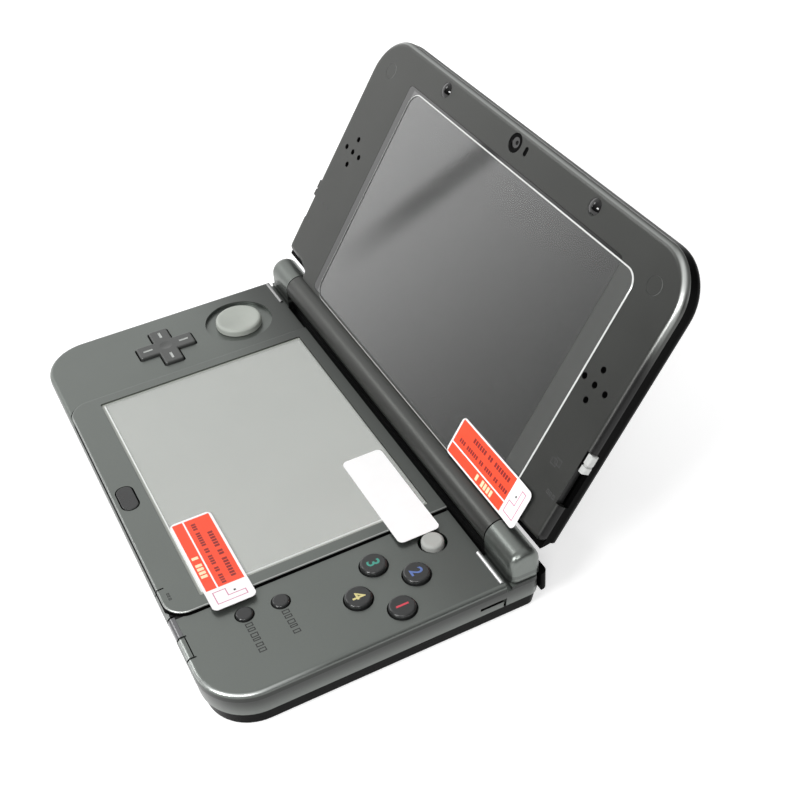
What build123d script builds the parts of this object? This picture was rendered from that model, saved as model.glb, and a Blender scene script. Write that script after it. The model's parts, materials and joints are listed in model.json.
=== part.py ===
"""Clamshell handheld game with two screens, drawn open at its resting angle.

Frame: millimetres, X to the player's right, Y away from the player, Z up. The origin is the
centre of the flat underside, on the back cover that rests on the table. The lid is drawn in a
frame of its own, whose origin is on the hinge axis: Y runs up the lid, away from the hinge, and
Z comes out of its inner face. It is then turned about the hinge to the resting angle.
"""

import os

from build123d import *

os.makedirs("parts", exist_ok=True)

# Base casing
HALF_WIDTH = 80.0
BASE_FRONT = -45.5
BASE_BACK = 45.5
FRONT_CORNER = 14.0
REAR_CORNER = 4.0
WALL = 1.6
SEAM_Z = 5.3
WAIST_Z = 11.0
DECK_Z = 13.5
STAGE_Z = 14.4
DECK_UNDER = DECK_Z - WALL
DECK_BACK = 34.2
TOP_TAPER = 0.7
BOTTOM_INSET = 1.0
BOTTOM_TAPER = 2.0
EDGE_FILLET = 1.3
STAGE_HALF = 48.0
STAGE_FRONT = -44.9
STAGE_CORNER = 6.0
MOAT_WIDTH, MOAT_DEPTH = 0.6, 0.4

# Hinge and lid
HINGE_Y = 40.2
HINGE_Z = 17.1
BARREL_R = 4.5
TROUGH_R = 5.9
TROUGH_TOP = 12.2
TRENCH_FLOOR = 9.8
GROOVE_X = 78.5
BEAD_R = 0.7
LID_HALF_SPLIT = 65.5
KNUCKLE_START = 65.9
KNUCKLE_END = 79.6
KNUCKLE_ROUND = 2.3
WEB_DROP = 11.0
OPEN_ANGLE = 123.5
LID_FACE = 1.6
LID_SEAM = -0.5
LID_BACK = -6.0
LID_TOP = 87.4
LID_LOW = 7.7
SHELL_LOW = 3.2
LID_CORNER = 14.0
LID_FILLET = 1.8
SHELL_FILLET = 3.0

# Screens and films
LOWER_X, LOWER_Y = 88.0, 65.4
LOWER_CENTRE = -2.5
LOWER_FILM_X, LOWER_FILM_Y = 87.0, 65.0
LOWER_FILM_CENTRE = -2.25
LOWER_RECESS = 0.45
FILM = 0.35
GLASS = 1.0
UPPER_GLASS_X = 112.8
UPPER_GLASS_LOW, UPPER_GLASS_HIGH = 5.4, 77.5
UPPER_DISPLAY_LOW, UPPER_DISPLAY_DEPTH = 7.35, 69.0
UPPER_FILM_X = 117.4
UPPER_FILM_SHIFT = 5.2
UPPER_FILM_LOW, UPPER_FILM_HIGH = 4.6, 76.6
UPPER_FILM = 0.3
FILM_EDGE = 0.1
FILM_BEVEL = 0.35
TAB = 0.15
AIR = 0.02

# Controls
PAD_X, PAD_Y = -63.8, 17.2
PAD_R = 7.5
PAD_TOP = 14.8
PAD_DISH_R = 46.0
DISH_R = 11.0
CROSS_X, CROSS_Y = -62.7, -8.3
CROSS_SPAN, CROSS_ARM = 18.4, 6.1
CROSS_TOP = 14.4
PIVOT_R, PIVOT_Z = 0.6, 10.7
DIMPLE_R = 14.0
CLUSTER_X, CLUSTER_Y = 65.1, 7.8
CLUSTER_PITCH = 8.3
FACE_R = 3.6
FACE_TOP = DECK_Z + 1.3
NUB_X, NUB_Y = 57.0, 25.0
NUB_R = 3.1
START_X, START_Y = 55.9, -18.0
SELECT_X, SELECT_Y = 55.3, -27.7
MENU_R = 2.3
HOME_Y = -40.9
LIGHT_BAR = (47.25, 54.05)
POWER_BUTTON = (54.75, 61.5)
POWER_TRAVEL = 0.25
RIM_NOTCHES = (37.2, 46.9, 54.4, 61.85)
BUMPER_X, BUMPER_Y, BUMPER_R = 39.0, 82.8, 2.3
CAMERA_Y, CAMERA_R = 83.1, 2.75
OUTER_CAMERA_X, OUTER_CAMERA_Y, OUTER_CAMERA_R = 17.5, 70.0, 3.55
LAMP_X, LAMP_Y, LAMP_PLACE = 1.4, 2.6, (5.6, 82.9)
SPEAKER_X, SPEAKER_Y = 69.4, 48.4
SPEAKER_PITCH = 4.4
SPEAKER_HOLE = 0.9
COVER_X, COVER_Y = 69.5, 76.8
KNOB_LENGTH = 5.4
NOTCH_X = 78.35
NOTCH_FLOOR = -1.4
KNOB_LOW, KNOB_HIGH = 19.2, 34.6
VOLUME_HIGH = 33.4

# Buttons along the back
SHOULDER_START, SHOULDER_STEP, SHOULDER_END = 51.9, 66.6, 80.1
SHOULDER_FRONT, SHOULDER_BACK = 44.2, 46.3
SHOULDER_LOW, SHOULDER_MID, SHOULDER_TOP = 6.4, 10.4, 12.4
TRIGGER_X, TRIGGER_LENGTH = 44.35, 11.0
SHOULDER_PIN_X, TRIGGER_PIN_X = 53.8, 40.8
PIN_Y, PIN_R = 42.8, 0.8

# Underside
COVER_WIDTH, COVER_DEPTH, COVER_CORNER = 152.6, 80.0, 10.0
COVER_CENTRE = -1.0
COVER_THICK = 1.35

# Inside
BOARD_LOW, BOARD_HIGH = 7.9, 8.9
SCREW_R = 0.9
POST_R = 2.2
POSTS = [(74.2, -32.0), (74.2, 31.0), (-74.2, -32.0), (-74.2, 31.0), (30.0, 36.0), (-30.0, 36.0)]
COVER_SCREWS = [(-62.0, -34.0), (62.0, -34.0)]
STYLUS_X, STYLUS_Z, STYLUS_R = -69.4, 5.0, 2.3
STYLUS_LENGTH = 76.0
JACK_X, JACK_Z = 24.0, 4.6
CARD_X, CARD_Z = -32.0, 4.95
CARD_WIDTH, CARD_HEIGHT = 33.8, 3.9
FIT = 0.05


def block(x0, x1, y0, y1, z0, z1):
    """Box between two corners."""
    return Pos((x0 + x1) / 2, (y0 + y1) / 2, (z0 + z1) / 2) * Box(x1 - x0, y1 - y0, z1 - z0)


def slab(width, depth, radius, low, high, x=0.0, y=0.0):
    """Block with rounded plan corners, centred at x, y, from height low to high."""
    return Pos(x, y, low) * extrude(RectangleRounded(width, depth, radius), high - low)


def disc(radius, low, high, x=0.0, y=0.0):
    """Upright cylinder at x, y from height low to high."""
    return Pos(x, y, low) * extrude(Circle(radius), high - low)


def rod_x(radius, x0, x1, y, z):
    """Cylinder that lies along X."""
    return Pos((x0 + x1) / 2, y, z) * Rot(0, 90, 0) * Cylinder(radius, x1 - x0)


def rod_y(radius, y0, y1, x, z):
    """Cylinder that lies along Y."""
    return Pos(x, (y0 + y1) / 2, z) * Rot(90, 0, 0) * Cylinder(radius, y1 - y0)


def outline(points, radii, z):
    """Closed plan with a radius at each corner, at height z."""
    path = FilletPolyline(*points, radius=radii, close=True)
    return Pos(0, 0, z) * make_face(path.edges())


def rounded_top(shape, radius):
    """Rounds every edge of the highest face."""
    return fillet(shape.faces().sort_by(Axis.Z)[-1].edges(), radius)


def both_sides(shape):
    """A right-hand feature and its mirror image."""
    return shape + mirror(shape, about=Plane.YZ)


def on_lid(shape):
    """Turns a shape from the lid's own frame to the resting angle."""
    return Pos(0, HINGE_Y, HINGE_Z) * Rot(180.0 - OPEN_ANGLE, 0, 0) * shape


def base_plan(inset, z):
    """Plan of the base, drawn in from its widest line."""
    half, front, back = HALF_WIDTH - inset, BASE_FRONT + inset, BASE_BACK - inset
    points = [(-half, front), (half, front), (half, back), (-half, back)]
    front_r, back_r = FRONT_CORNER - inset, max(REAR_CORNER - inset, 1.0)
    return outline(points, [front_r, front_r, back_r, back_r], z)


def plus(span, arm, radius, low, high):
    """Cross with equal arms, rounded at its outer corners."""
    face = RectangleRounded(span, arm, radius) + RectangleRounded(arm, span, radius)
    return Pos(0, 0, low) * extrude(face, high - low)


def base_envelope():
    """Outer form of the upper casing: a rounded rim over a side that leans in going down."""
    side = loft([base_plan(TOP_TAPER, SEAM_Z), base_plan(0, WAIST_Z)], ruled=True)
    return side + rounded_top(extrude(base_plan(0, WAIST_Z), DECK_Z - WAIST_Z), EDGE_FILLET)


def hinge_knuckle():
    """Right-hand knuckle: a round head on a web that stands on the casing."""
    head = Circle(BARREL_R) + Pos(0, -WEB_DROP / 2) * Rectangle(2 * BARREL_R, WEB_DROP)
    solid = extrude(Plane.YZ * head, KNUCKLE_END - KNUCKLE_START)
    solid = Pos(KNUCKLE_START, HINGE_Y, HINGE_Z) * solid
    return fillet(solid.faces().sort_by(Axis.X)[-1].edges(), KNUCKLE_ROUND)


def shoulder_pocket():
    """Right-hand pockets for the shoulder button and the small trigger beside it."""
    inner = block(51.5, 66.2, 40.2, 48, 6.2, 10.6)
    outer = block(66.2, 82, 43.2, 48, 6.2, 12.6)
    return inner + outer + block(38.5, 50.2, 40.2, 48, 6.2, 10.6)


def card_slot(front, back):
    """Box the size of the card slot between two depths."""
    half, rise = CARD_WIDTH / 2, CARD_HEIGHT / 2
    return block(CARD_X - half, CARD_X + half, front, back, CARD_Z - rise, CARD_Z + rise)


def front_openings():
    """Ways in through the front wall: card slot, headphone jack and stylus bore."""
    jack = rod_y(2.7, -48, -41, JACK_X, JACK_Z)
    stylus = rod_y(STYLUS_R + 0.1, -48, -41, STYLUS_X, STYLUS_Z)
    return card_slot(-48, -41) + jack + stylus


def rear_openings():
    """Ways through the back wall: charging port and infrared window."""
    return block(-5.6, 5.6, 41, 48, 3.6, 7.2) + block(14, 32, 41, 48, 6.4, 10.6)


def edge_piece(x0, x1, side=0.0, behind=0.0):
    """Box along the front rim that the power button and the light bar are cut with."""
    return block(x0 - side, x1 + side, -47, -43.6 + behind, 8.5 - side, 15)


def stage_plan(margin, z):
    """Plan of the raised stage round the lower screen, with a margin added all round."""
    half, front = STAGE_HALF + margin, STAGE_FRONT - margin
    points = [(-half, front), (half, front), (half, DECK_BACK + 3), (-half, DECK_BACK + 3)]
    return outline(points, [STAGE_CORNER + margin, STAGE_CORNER + margin, 1, 1], z)


def base_top_housing():
    body = base_envelope()
    body -= extrude(stage_plan(MOAT_WIDTH, DECK_Z - MOAT_DEPTH), 5)
    body += rounded_top(extrude(stage_plan(0, WAIST_Z), STAGE_Z - WAIST_Z), 0.5)
    # Room at the back for the lid's barrel
    body -= block(-90, 90, DECK_BACK, 60, TROUGH_TOP, 30)
    body -= block(-KNUCKLE_START, KNUCKLE_START, DECK_BACK, 37.5, TRENCH_FLOOR, 30)
    body -= both_sides(block(KNUCKLE_START - 1, 90, DECK_BACK, HINGE_Y - BARREL_R, WAIST_Z, 30))
    body -= rod_x(TROUGH_R, -KNUCKLE_START, KNUCKLE_START, HINGE_Y, HINGE_Z)
    body += both_sides(hinge_knuckle())
    # Inside
    front = BASE_FRONT + WALL
    inner = HALF_WIDTH - WALL
    low_points = [(-inner, front), (inner, front), (inner, 38.6), (-inner, 38.6)]
    body -= extrude(outline(low_points, [12, 12, 2, 2], SEAM_Z - 1), 3.9)
    high_points = [(-inner, front), (inner, front), (inner, 32.6), (-inner, 32.6)]
    body -= extrude(outline(high_points, [12, 12, 2, 2], SEAM_Z), DECK_UNDER - SEAM_Z)
    body -= block(-35.5, 35.5, 38, BASE_BACK - WALL, SEAM_Z - 1, SEAM_Z + 2.9)
    body -= slab(93, 71, 1, DECK_UNDER - 1, STAGE_Z - LOWER_RECESS - GLASS, y=LOWER_CENTRE)
    body -= slab(LOWER_X + 0.6, LOWER_Y + 0.6, 0.5, DECK_UNDER, 20, y=LOWER_CENTRE)
    # Screw posts
    for x, y in POSTS:
        body += disc(POST_R, SEAM_Z, DECK_UNDER if y < 34 else 8.6, x, y)
    for x, y in POSTS:
        body -= disc(SCREW_R, SEAM_Z - 1, 8.0, x, y)
    # Controls on the deck
    body += disc(13.0, 11.4, DECK_UNDER, PAD_X, PAD_Y)
    body -= disc(DISH_R, 12.4, 20, PAD_X, PAD_Y)
    body -= disc(6.7, 10, 20, PAD_X, PAD_Y)
    body -= Pos(CROSS_X, CROSS_Y) * plus(CROSS_SPAN + 0.9, CROSS_ARM + 0.9, 0.8, 10, 20)
    for x, y in face_button_places():
        body -= disc(FACE_R + 0.4, 10, 20, x, y)
    for x, y in ((START_X, START_Y), (SELECT_X, SELECT_Y)):
        body -= disc(MENU_R + 0.3, 10, 20, x, y)
    body -= disc(NUB_R + 0.9, 10, 20, NUB_X, NUB_Y)
    body -= slab(10.6, 5.4, 2.6, 10, 20, y=HOME_Y)
    # Edges
    body -= front_openings() + rear_openings() + both_sides(shoulder_pocket())
    body -= edge_piece(*LIGHT_BAR, 0.1, 0.05) + edge_piece(*POWER_BUTTON, 0.1, POWER_TRAVEL + 0.05)
    for x in RIM_NOTCHES:
        body -= block(x - 0.22, x + 0.22, -47, -42.9, 12.4, 15)
    groove = block(GROOVE_X, 82, 26.6, 34.2, 7.5, 8.5) + block(GROOVE_X, 82, 33.4, 34.2, 5.0, 8.5)
    body -= both_sides(groove)
    # Beads on the deck's back edge, in front of the knuckles
    body += both_sides(rod_x(BEAD_R, 66.2, 78.6, DECK_BACK - BEAD_R, DECK_Z - 0.3))
    body -= rod_x(3.0, KNUCKLE_START - 1, 78.0, HINGE_Y, HINGE_Z)
    body -= rod_x(3.0, -78.0, 1 - KNUCKLE_START, HINGE_Y, HINGE_Z)
    return body


def base_bottom_housing():
    low = base_plan(BOTTOM_TAPER, 0)
    body = loft([low, base_plan(BOTTOM_INSET, SEAM_Z)], ruled=True)
    body = fillet(body.faces().sort_by(Axis.Z)[0].edges(), 1.2)
    inset = BOTTOM_INSET + WALL
    body -= extrude(base_plan(inset, 2.6), 5)
    body -= slab(COVER_WIDTH, COVER_DEPTH, COVER_CORNER, -1, COVER_THICK + FIT, y=COVER_CENTRE)
    body -= slab(62.6, 40.6, 1, 0, 4, x=23, y=-11)
    body -= slab(15.4, 11.4, 0.9, 1, 4, x=-30, y=20)
    for x, y in POSTS:
        body += disc(POST_R, 1.4, SEAM_Z, x, y)
    for x, y in COVER_SCREWS:
        body += disc(POST_R, 1.4, 5.0, x, y)
    for x, y in POSTS:
        body -= disc(SCREW_R, 0, 8, x, y) + disc(1.6, 0, 3.2, x, y)
    for x, y in COVER_SCREWS:
        body -= disc(SCREW_R, 0, 4.4, x, y)
    return body - front_openings() - rear_openings()


def back_cover():
    cover = slab(COVER_WIDTH - 0.3, COVER_DEPTH - 0.3, COVER_CORNER, 0, COVER_THICK, y=COVER_CENTRE)
    cover = fillet(cover.faces().sort_by(Axis.Z)[0].edges(), 0.3)
    for x, y in COVER_SCREWS:
        cover -= disc(2.3, -1, 0.9, x, y) + disc(1.0, 0, 3, x, y)
    return cover


def cover_screws():
    slot = block(-0.35, 0.35, -1.6, 1.6, 0, 0.6)
    screw = disc(2.2, 0.2, 0.9) + disc(SCREW_R, 0.9, 4.0) - slot
    return [Pos(x, y) * screw for x, y in COVER_SCREWS]


def housing_screws():
    slot = block(-0.25, 0.25, -1.1, 1.1, 2.0, 2.4) + block(-1.1, 1.1, -0.25, 0.25, 2.0, 2.4)
    screw = disc(1.5, 2.1, 3.2) + disc(SCREW_R, 3.2, 7.8) - slot
    return [Pos(x, y) * screw for x, y in POSTS]


def mainboard():
    board = slab(152.8, 67.0, 2, BOARD_LOW, BOARD_HIGH, y=-2.5)
    for x, y in POSTS:
        board -= disc(POST_R + 0.5, 5, 12, x, y)
    chips = [(-12, -8, 22, 22), (22, -12, 16, 12), (30, 14, 12, 10), (-28, 16, 14, 9), (8, 18, 10, 8)]
    for x, y, w, d in chips:
        board += slab(w, d, 0.3, BOARD_HIGH - 0.1, BOARD_HIGH + 0.9, x=x, y=y)
    return board


def battery():
    pack = slab(62.0, 40.0, 1.5, 1.5, 7.2, x=23, y=-11)
    return fillet(pack.edges().filter_by(GeomType.LINE).filter_by(Axis.X), 0.6)


def card_reader():
    return block(CARD_X - 18.4, CARD_X + 18.4, -42.8, -12, 2.7, 7.3) - card_slot(-44, -13.5)


def memory_card():
    """Small storage card in its holder under the back cover."""
    return slab(15.0, 11.0, 0.8, 1.6, 2.4, x=-30, y=20)


def audio_jack():
    body = block(JACK_X - 3.4, JACK_X + 3.4, -42.8, -32.2, 2.7, 7.2)
    body += rod_y(2.6, -44.4, -42.8, JACK_X, JACK_Z)
    return body - rod_y(1.8, -46, -33.2, JACK_X, JACK_Z)


def charge_port():
    port = block(-5.5, 5.5, 38.8, 45.0, 3.65, 7.15)
    return port - block(-4.4, 4.4, 40.2, 46, 4.5, 6.3) + block(-3.6, 3.6, 40.2, 44.2, 5.2, 5.6)


def infrared_window():
    pane = block(14.05, 31.95, BASE_BACK - WALL, BASE_BACK + 0.1, 6.45, 10.55)
    return fillet(pane.faces().sort_by(Axis.Y)[-1].edges(), 0.3)


def lower_display():
    return slab(91.6, 69.6, 1, 10.6, STAGE_Z - LOWER_RECESS - GLASS - FIT, y=LOWER_CENTRE)


def touch_glass():
    top = STAGE_Z - LOWER_RECESS
    return slab(LOWER_X + 0.4, LOWER_Y + 0.4, 0.4, top - GLASS, top, y=LOWER_CENTRE)


def bevelled_film(width, depth, radius, low, high, x, y):
    """Thin glass sheet with a wide, shallow bevel round its upper edge."""
    bevel_low = low + FILM_EDGE
    foot = RectangleRounded(width, depth, radius)
    top = RectangleRounded(width - 2 * FILM_BEVEL, depth - 2 * FILM_BEVEL, radius - FILM_BEVEL)
    bevelled = loft([Pos(x, y, bevel_low) * foot, Pos(x, y, high) * top], ruled=True)
    return Pos(x, y, low) * extrude(foot, FILM_EDGE) + bevelled


def lower_film():
    low = STAGE_Z - LOWER_RECESS
    return bevelled_film(LOWER_FILM_X, LOWER_FILM_Y, 0.8, low + AIR, low + FILM, 0, LOWER_FILM_CENTRE)


def tab_strip(x0, x_edge, x1, low, over, end, y0, y1):
    """Thin strip that lies at height low, steps up to over at x_edge and rises to end at x1."""
    bottom = [(x0, low), (x_edge - 2.0, low), (x_edge, over), (x1 - 3.0, (over + end) / 2), (x1, end)]
    top = [(x, z + TAB) for x, z in reversed(bottom)]
    face = Plane.XZ * make_face(Polyline(*bottom, *top, close=True))
    strip = Pos(0, y1, 0) * extrude(face, y1 - y0)
    corners = slab(x1 - x0, y1 - y0, 1.6, 0, 30, x=(x0 + x1) / 2, y=(y0 + y1) / 2)
    return strip & corners


def lower_pull_tab():
    film_top = STAGE_Z - LOWER_RECESS + FILM
    return tab_strip(16.4, 43.4, 51.9, film_top, STAGE_Z + FIT, STAGE_Z + 0.45, -34.4, -22.5)


def white_card():
    film_top = STAGE_Z - LOWER_RECESS + FILM
    return tab_strip(17.6, 44.0, 54.3, film_top, STAGE_Z + FIT, STAGE_Z + 0.25, 16.8, 29.0)


def slide_pad_tray():
    tray = slab(23.0, 23.0, 1, BOARD_HIGH, 11.3, x=PAD_X, y=PAD_Y)
    return tray - slab(22.2, 22.2, 0.4, BOARD_HIGH + 0.6, 20, x=PAD_X, y=PAD_Y)


def slide_pad_carriage():
    plate = slab(17.2, 22.0, 0.4, 9.6, 10.2, x=PAD_X, y=PAD_Y)
    return plate - slab(6.0, 12.0, 1, 9, 11, x=PAD_X, y=PAD_Y)


def slide_pad_cap():
    cap = rounded_top(disc(PAD_R, 12.6, PAD_TOP, PAD_X, PAD_Y), 0.9)
    cap -= Pos(PAD_X, PAD_Y, PAD_TOP + PAD_DISH_R - 0.4) * Sphere(PAD_DISH_R)
    return cap + disc(3.0, 10.9, 12.7, PAD_X, PAD_Y) + disc(5.6, 10.3, 10.9, PAD_X, PAD_Y)


def dpad():
    cross = rounded_top(plus(CROSS_SPAN, CROSS_ARM, 0.7, 11.0, CROSS_TOP), 0.5)
    cross -= Pos(0, 0, CROSS_TOP + DIMPLE_R - 0.15) * Sphere(DIMPLE_R)
    for turn in range(4):
        mark = block(4.6, 7.4, -0.35, 0.35, CROSS_TOP - 0.15, CROSS_TOP + 1)
        cross -= Rot(0, 0, 90 * turn) * mark
    cross += disc(10.4, 10.2, 11.0)
    cross -= block(-3, 3, -1.4, 1.4, 10, 11.6) + rod_y(PIVOT_R + FIT, -2.7, 2.7, 0, PIVOT_Z)
    return Pos(CROSS_X, CROSS_Y) * cross


def dpad_pivot():
    """Two crossed pins: the cross pad rocks on one, and both rock in the mat's cradle on the other."""
    pins = rod_x(PIVOT_R, -2.6, 2.6, 0, PIVOT_Z) + rod_y(PIVOT_R, -2.6, 2.6, 0, PIVOT_Z)
    return Pos(CROSS_X, CROSS_Y) * pins


def dpad_mat():
    mat = slab(21.4, 21.4, 3, BOARD_HIGH, 9.4)
    mat += both_sides(block(1.6, 2.5, -1.0, 1.0, 9.3, PIVOT_Z))
    return Pos(CROSS_X, CROSS_Y) * (mat - rod_x(PIVOT_R + FIT, -3, 3, 0, PIVOT_Z))


def face_button_places():
    """Centres of the four action buttons: right, top, left, bottom."""
    p = CLUSTER_PITCH
    return [(CLUSTER_X + x, CLUSTER_Y + y) for x, y in ((p, 0), (0, p), (-p, 0), (0, -p))]


def round_button(radius, flange, top, x, y):
    button = disc(radius, 10.9, top, x, y)
    button = fillet(button.faces().sort_by(Axis.Z)[-1].edges(), min(0.7, radius / 4))
    return button + disc(flange, 10.9, 11.6, x, y)


def face_button_mat():
    mat = slab(24.0, 25.4, 5, BOARD_HIGH, 9.6, x=CLUSTER_X, y=CLUSTER_Y)
    for x, y in face_button_places():
        mat -= disc(1.2, 8, 10, x, y)
    return mat


def menu_button_mat():
    return slab(8.0, 17.6, 3, BOARD_HIGH, 10.0, x=(START_X + SELECT_X) / 2, y=(START_Y + SELECT_Y) / 2)


def home_button():
    button = slab(10.0, 4.8, 2.3, 11.2, STAGE_Z + 0.15, y=HOME_Y)
    return rounded_top(button, 0.3) + slab(12.6, 4.8, 1, 11.0, 11.7, y=HOME_Y)


def pointing_nub():
    nub = disc(NUB_R, 12.2, STAGE_Z + 0.3, NUB_X, NUB_Y)
    nub = fillet(nub.faces().sort_by(Axis.Z)[-1].edges(), 0.9)
    return nub + disc(1.5, 10.2, 12.2, NUB_X, NUB_Y)


def nub_sensor():
    return slab(8.4, 8.4, 0.6, BOARD_HIGH, 10.2, x=NUB_X, y=NUB_Y)


def power_button():
    return base_envelope() & edge_piece(*POWER_BUTTON)


def status_light_bar():
    return base_envelope() & edge_piece(*LIGHT_BAR)


def pivot_lug(x):
    """Lug with a bore for the pin that a shoulder button or a trigger turns on."""
    lug = block(x - 1.6, x + 1.6, PIN_Y - 1.4, SHOULDER_FRONT + 0.2, SHOULDER_LOW, SHOULDER_MID)
    return lug - disc(PIN_R + FIT, 5, 14, x, PIN_Y)


def shoulder_button():
    """Right-hand shoulder button: a bar along the back that grows taller toward the corner."""
    points = [(SHOULDER_START, SHOULDER_FRONT), (SHOULDER_END, SHOULDER_FRONT)]
    points += [(SHOULDER_END, SHOULDER_BACK), (SHOULDER_START, SHOULDER_BACK)]
    bar = extrude(outline(points, [0.3, 0.2, 1.7, 0.8], SHOULDER_LOW), SHOULDER_TOP - SHOULDER_LOW)
    bar -= block(50, SHOULDER_STEP, 40, 48, SHOULDER_MID, 13)
    return bar + pivot_lug(SHOULDER_PIN_X)


def trigger_button():
    """Right-hand small trigger, beside the shoulder button."""
    bar = slab(TRIGGER_LENGTH, 2.3, 0.6, SHOULDER_LOW, SHOULDER_MID, x=TRIGGER_X, y=44.95)
    return bar + pivot_lug(TRIGGER_PIN_X)


def shoulder_pins():
    pins = [disc(PIN_R, 6.2, 10.6, x, PIN_Y) for x in (SHOULDER_PIN_X, TRIGGER_PIN_X)]
    return pins + [mirror(pin, about=Plane.YZ) for pin in pins]


def stylus():
    front = BASE_FRONT + 1.2
    back = front + STYLUS_LENGTH
    pen = rod_y(STYLUS_R, front, back - 12.0, STYLUS_X, STYLUS_Z)
    tip = Pos(STYLUS_X, back - 6.0, STYLUS_Z) * Rot(-90, 0, 0) * Cone(STYLUS_R, 0.9, 12.0)
    return fillet(pen.faces().sort_by(Axis.Y)[0].edges(), 0.5) + tip


def hinge_clutch():
    grip = rod_x(3.0, 66.0, 77.9, HINGE_Y, HINGE_Z)
    return grip + rod_x(2.0, 57.0, 66.0, HINGE_Y, HINGE_Z)


def hinge_tube():
    tube = rod_x(3.0, -77.9, -66.0, HINGE_Y, HINGE_Z) + rod_x(2.5, -66.0, -56.0, HINGE_Y, HINGE_Z)
    return tube - rod_x(1.8, -80, -50, HINGE_Y, HINGE_Z)


def lid_plan(inset, z, low_edge=LID_LOW, low_corner=2.0, root=0.0):
    """Plan of the lid from root up, with its lower corners cut back round the knuckles."""
    half, top, low = HALF_WIDTH - inset, LID_TOP - inset, low_edge + inset
    right = [(LID_HALF_SPLIT - inset, root), (LID_HALF_SPLIT - inset, low - 1.9)]
    right += [(70.0, low - 0.4), (half, low), (half, top)]
    left = [(-x, y) for x, y in reversed(right)]
    corner = LID_CORNER - inset
    radii = [0.5, 0.3, 2.0, low_corner, corner]
    return outline(right + left, radii + radii[::-1], z)


def slider_notches(depth):
    """Notches for the depth slider on the right edge and the volume slider on the left."""
    right = block(NOTCH_X, 82, KNOB_LOW - 0.3, KNOB_HIGH + 0.3, depth, 5)
    left = block(-82, -NOTCH_X, KNOB_LOW + 0.7, VOLUME_HIGH + 0.3, depth, 5)
    return right + left


def lid_inner_bezel():
    plate = extrude(lid_plan(0, LID_SEAM), LID_FACE - LID_SEAM)
    rim = plate.faces().sort_by(Axis.Z)[-1].edges().filter_by(lambda e: e.center().Y > 7)
    plate = fillet(rim, LID_FILLET)
    plate += rod_x(BARREL_R, -LID_HALF_SPLIT, LID_HALF_SPLIT, 0, 0)
    mid = (UPPER_GLASS_LOW + UPPER_GLASS_HIGH) / 2
    plate -= slab(UPPER_GLASS_X, UPPER_GLASS_HIGH - UPPER_GLASS_LOW, 1.5, LID_FACE - GLASS, 5, y=mid)
    plate -= slab(108, 65.6, 0.6, LID_SEAM - 1, 5, y=mid + 0.4)
    for x in (-BUMPER_X, BUMPER_X):
        plate -= disc(BUMPER_R + FIT, LID_FACE - 0.8, 5, x, BUMPER_Y)
    plate -= disc(CAMERA_R + FIT, -5, 5, 0, CAMERA_Y)
    plate -= slab(LAMP_X + 0.1, LAMP_Y + 0.1, 0.7, -5, 5, x=LAMP_PLACE[0], y=LAMP_PLACE[1])
    for x in (-COVER_X, COVER_X):
        plate -= disc(2.5, LID_FACE - 0.6, 5, x, COVER_Y)
        plate -= disc(1.0, -5, 5, x, COVER_Y)
    for side in (-SPEAKER_X, SPEAKER_X):
        for x, y in ((0, 0), (1, 0), (-1, 0), (0, 1), (0, -1)):
            plate -= disc(SPEAKER_HOLE, -5, 5, side + x * SPEAKER_PITCH, SPEAKER_Y + y * SPEAKER_PITCH)
    plate -= slider_notches(-5)
    # Hollow ends of the barrel, and the way up to the display for its cable
    plate -= rod_x(2.0 + FIT, 56.5, 66, 0, 0) + rod_x(2.5 + FIT, -66, -44, 0, 0)
    return plate - block(-53.5, -45.5, 0, 12, -1.9, -1.3)


def lid_outer_shell():
    shell = extrude(lid_plan(0, LID_BACK, SHELL_LOW, 4.0, -BARREL_R), LID_SEAM - LID_BACK)
    rim = shell.faces().sort_by(Axis.Z)[0].edges().filter_by(lambda e: e.center().Y > 4)
    shell = fillet(rim, SHELL_FILLET)
    shell -= rod_x(BARREL_R + FIT, -90, 90, 0, 0)
    shell -= both_sides(rod_x(BARREL_R + 0.3, LID_HALF_SPLIT, 90, 0, 0))
    shell -= block(-90, 90, -5, 2.4, -10, 5)
    shell -= Rot(45, 0, 0) * block(-90, 90, -10, 3.8, -10, 10) & block(-90, 90, -5, 8, -10, 0)
    cavity = extrude(lid_plan(WALL, LID_BACK + WALL - 0.2), 6) & block(-79, 79, 7.0, 90, -5, 0)
    shell -= cavity
    for x in (-COVER_X, COVER_X):
        shell += disc(2.2, LID_BACK + 1, LID_SEAM, x, COVER_Y)
        shell -= disc(SCREW_R, LID_BACK + 1.4, 0, x, COVER_Y)
    for x in (-OUTER_CAMERA_X, OUTER_CAMERA_X):
        shell -= disc(OUTER_CAMERA_R + FIT, -8, 0, x, OUTER_CAMERA_Y)
    shell += both_sides(block(75.2, 78.6, KNOB_LOW - 1, KNOB_HIGH + 1, LID_BACK + 1.2, LID_SEAM - 1.5))
    return shell - slider_notches(NOTCH_FLOOR) - block(-53.5, -45.5, 2, 8, -1.9, 0)


def upper_display():
    middle = UPPER_DISPLAY_LOW + UPPER_DISPLAY_DEPTH / 2
    return slab(112, UPPER_DISPLAY_DEPTH, 0.6, -3.2, LID_SEAM - FIT, y=middle)


def upper_glass():
    mid = (UPPER_GLASS_LOW + UPPER_GLASS_HIGH) / 2
    depth = UPPER_GLASS_HIGH - UPPER_GLASS_LOW
    return slab(UPPER_GLASS_X - 0.2, depth - 0.2, 1.4, LID_FACE - GLASS, LID_FACE, y=mid)


def upper_film():
    mid = (UPPER_FILM_LOW + UPPER_FILM_HIGH) / 2
    depth = UPPER_FILM_HIGH - UPPER_FILM_LOW
    low, high = LID_FACE + AIR, LID_FACE + UPPER_FILM
    return bevelled_film(UPPER_FILM_X, depth, 4.5, low, high, UPPER_FILM_SHIFT, mid)


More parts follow.
